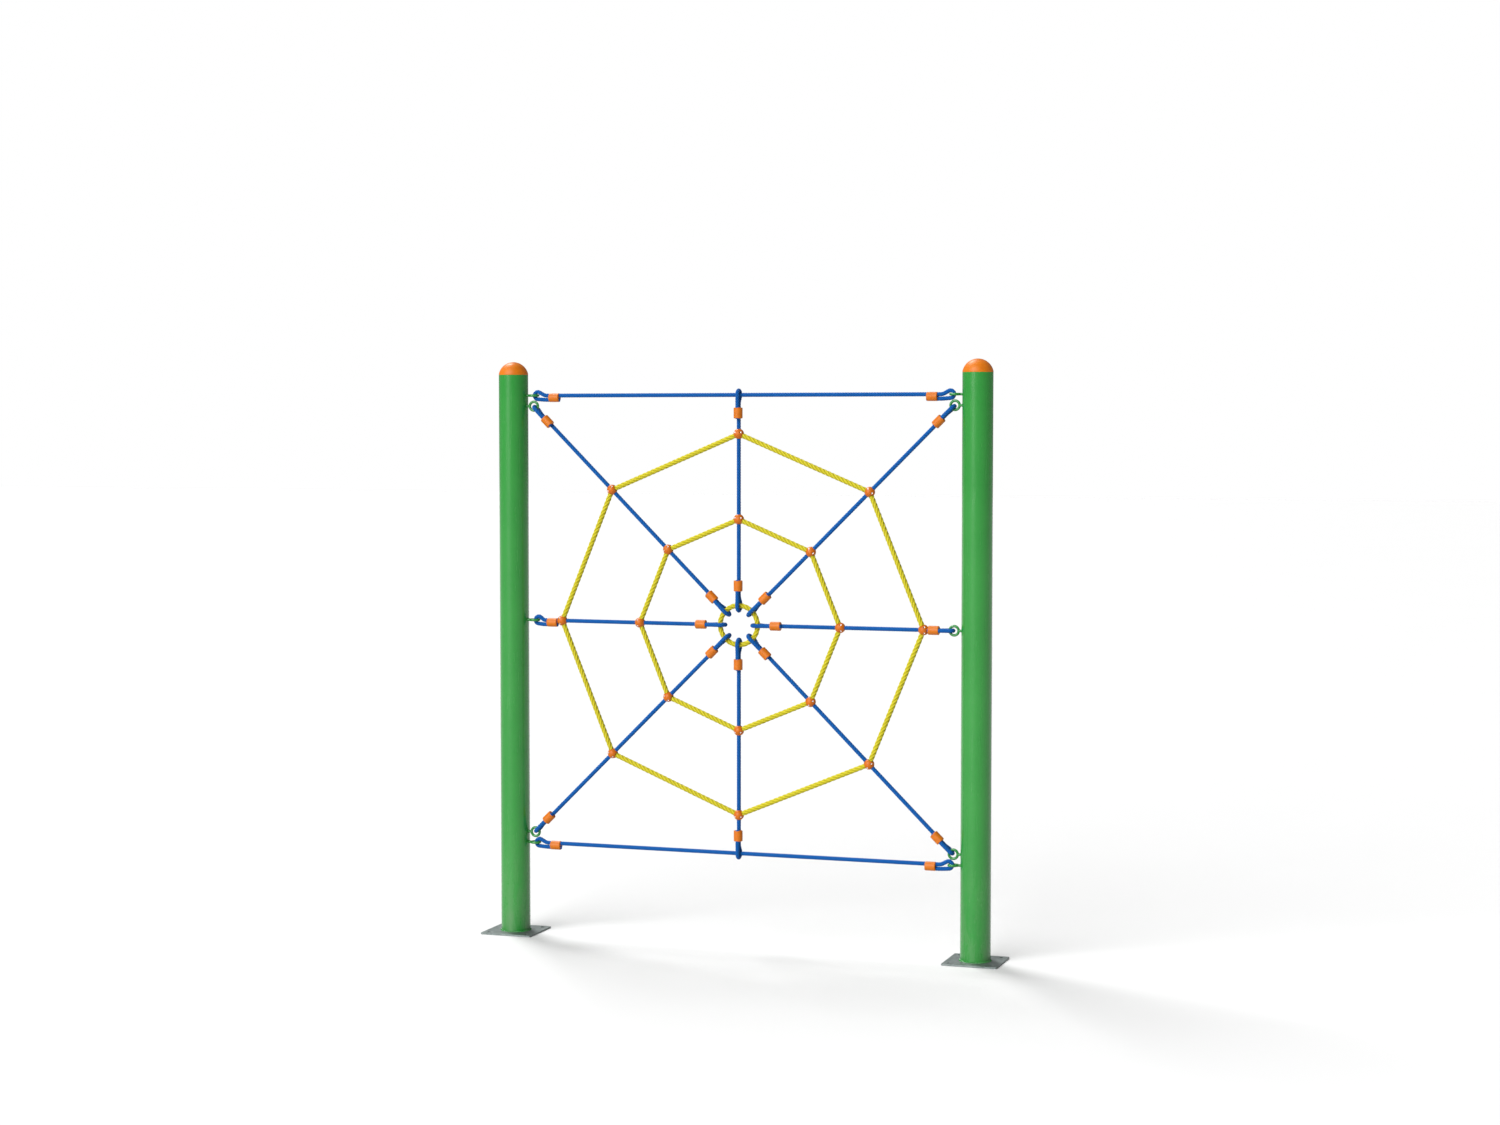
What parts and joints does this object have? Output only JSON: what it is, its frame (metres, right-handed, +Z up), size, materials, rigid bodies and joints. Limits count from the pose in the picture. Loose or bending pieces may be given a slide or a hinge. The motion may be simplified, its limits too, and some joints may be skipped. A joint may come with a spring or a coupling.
{
  "type": "climbing net",
  "caption": "Upright web climbing net of blue and yellow rope stretched between round steel posts with domed caps and square base plates; the net gives when it is climbed.",
  "frame": {"origin": "on the ground, midway between the posts", "axes": "+X from the left post to the right post, +Y through the net away from the front, +Z up"},
  "size_m": [2.07, 0.21, 2.237],
  "materials": {
    "post_paint": "glossy powder coat",
    "eye_paint": "glossy powder coat",
    "plate_steel": "dull galvanised",
    "cap_plastic": "moulded, satin",
    "ferrule_orange": "moulded, satin",
    "connector_plastic": "moulded, satin",
    "screw_steel": "bright",
    "blue_rope": "laid polyester strands",
    "yellow_rope": "laid polyester strands"
  },
  "bodies": {
    "frame": {"left_post": "post_paint", "right_post": "post_paint", "left_base_plate": "plate_steel", "right_base_plate": "plate_steel", "left_post_cap": "cap_plastic", "right_post_cap": "cap_plastic", "left_eye_rings": "eye_paint", "right_eye_rings": "eye_paint", "top_rope": "blue_rope", "bottom_rope": "blue_rope", "border_rope_ferrules": "ferrule_orange"},
    "centre_ring": {"centre_ring_rope": "yellow_rope"},
    "right_panel": {"right_spoke_rope": "blue_rope", "right_spoke_ferrules": "ferrule_orange", "right_connector_front_shells": "connector_plastic", "right_connector_rear_shells": "connector_plastic", "right_connector_screws": "screw_steel", "right_outer_course_ropes": "yellow_rope", "right_inner_course_ropes": "yellow_rope"},
    "top_panel": {"top_spoke_rope": "blue_rope", "top_spoke_ferrules": "ferrule_orange", "top_connector_front_shells": "connector_plastic", "top_connector_rear_shells": "connector_plastic", "top_connector_screws": "screw_steel", "top_outer_course_ropes": "yellow_rope", "top_inner_course_ropes": "yellow_rope"},
    "left_panel": {"left_spoke_rope": "blue_rope", "left_spoke_ferrules": "ferrule_orange", "left_connector_front_shells": "connector_plastic", "left_connector_rear_shells": "connector_plastic", "left_connector_screws": "screw_steel", "left_outer_course_ropes": "yellow_rope", "left_inner_course_ropes": "yellow_rope"},
    "bottom_panel": {"bottom_spoke_rope": "blue_rope", "bottom_spoke_ferrules": "ferrule_orange", "bottom_connector_front_shells": "connector_plastic", "bottom_connector_rear_shells": "connector_plastic", "bottom_connector_screws": "screw_steel", "bottom_outer_course_ropes": "yellow_rope", "bottom_inner_course_ropes": "yellow_rope"},
    "upper_right_spoke": {"upper_right_spoke_rope": "blue_rope", "upper_right_spoke_ferrules": "ferrule_orange", "upper_right_connector_front_shells": "connector_plastic", "upper_right_connector_rear_shells": "connector_plastic", "upper_right_connector_screws": "screw_steel"},
    "upper_left_spoke": {"upper_left_spoke_rope": "blue_rope", "upper_left_spoke_ferrules": "ferrule_orange", "upper_left_connector_front_shells": "connector_plastic", "upper_left_connector_rear_shells": "connector_plastic", "upper_left_connector_screws": "screw_steel"},
    "lower_left_spoke": {"lower_left_spoke_rope": "blue_rope", "lower_left_spoke_ferrules": "ferrule_orange", "lower_left_connector_front_shells": "connector_plastic", "lower_left_connector_rear_shells": "connector_plastic", "lower_left_connector_screws": "screw_steel"},
    "lower_right_spoke": {"lower_right_spoke_rope": "blue_rope", "lower_right_spoke_ferrules": "ferrule_orange", "lower_right_connector_front_shells": "connector_plastic", "lower_right_connector_rear_shells": "connector_plastic", "lower_right_connector_screws": "screw_steel"}
  },
  "joints": [
    {"name": "net_give", "type": "slide", "parent": "frame", "child": "centre_ring", "axis": [0, 1, 0], "range_m": [-0.04, 0.04], "stiffness_N_per_m": 2000},
    {"name": "right_swing", "type": "hinge", "parent": "frame", "child": "right_panel", "pos_m": [0.827, 0, 1.232], "axis": [0, 0, -1], "range_deg": [-3.06, 3.06]},
    {"name": "top_swing", "type": "hinge", "parent": "frame", "child": "top_panel", "pos_m": [0, 0, 2.1065], "axis": [1, 0, 0], "range_deg": [-2.88, 2.88]},
    {"name": "left_swing", "type": "hinge", "parent": "frame", "child": "left_panel", "pos_m": [-0.827, 0, 1.232], "axis": [0, 0, 1], "range_deg": [-3.06, 3.06]},
    {"name": "bottom_swing", "type": "hinge", "parent": "frame", "child": "bottom_panel", "pos_m": [0, 0, 0.3575], "axis": [-1, 0, 0], "range_deg": [-2.88, 2.88]},
    {"name": "upper_right_swing", "type": "hinge", "parent": "frame", "child": "upper_right_spoke", "pos_m": [0.8319, 0, 2.05352], "axis": [0.7027, 0, -0.7115], "range_deg": [-2.11, 2.11]},
    {"name": "upper_left_swing", "type": "hinge", "parent": "frame", "child": "upper_left_spoke", "pos_m": [-0.8319, 0, 2.05352], "axis": [0.7027, 0, 0.7115], "range_deg": [-2.11, 2.11]},
    {"name": "lower_left_swing", "type": "hinge", "parent": "frame", "child": "lower_left_spoke", "pos_m": [-0.8319, 0, 0.41048], "axis": [-0.7027, 0, 0.7115], "range_deg": [-2.11, 2.11]},
    {"name": "lower_right_swing", "type": "hinge", "parent": "frame", "child": "lower_right_spoke", "pos_m": [0.8319, 0, 0.41048], "axis": [-0.7027, 0, -0.7115], "range_deg": [-2.11, 2.11]}
  ],
  "couplings": [
    {"joint": "right_swing", "follows": "net_give", "rad_per_m": 1.3298},
    {"joint": "top_swing", "follows": "net_give", "rad_per_m": 1.2508},
    {"joint": "left_swing", "follows": "net_give", "rad_per_m": 1.3298},
    {"joint": "bottom_swing", "follows": "net_give", "rad_per_m": 1.2508},
    {"joint": "upper_right_swing", "follows": "net_give", "rad_per_m": 0.91393},
    {"joint": "upper_left_swing", "follows": "net_give", "rad_per_m": 0.91393},
    {"joint": "lower_left_swing", "follows": "net_give", "rad_per_m": 0.91393},
    {"joint": "lower_right_swing", "follows": "net_give", "rad_per_m": 0.91393}
  ]
}
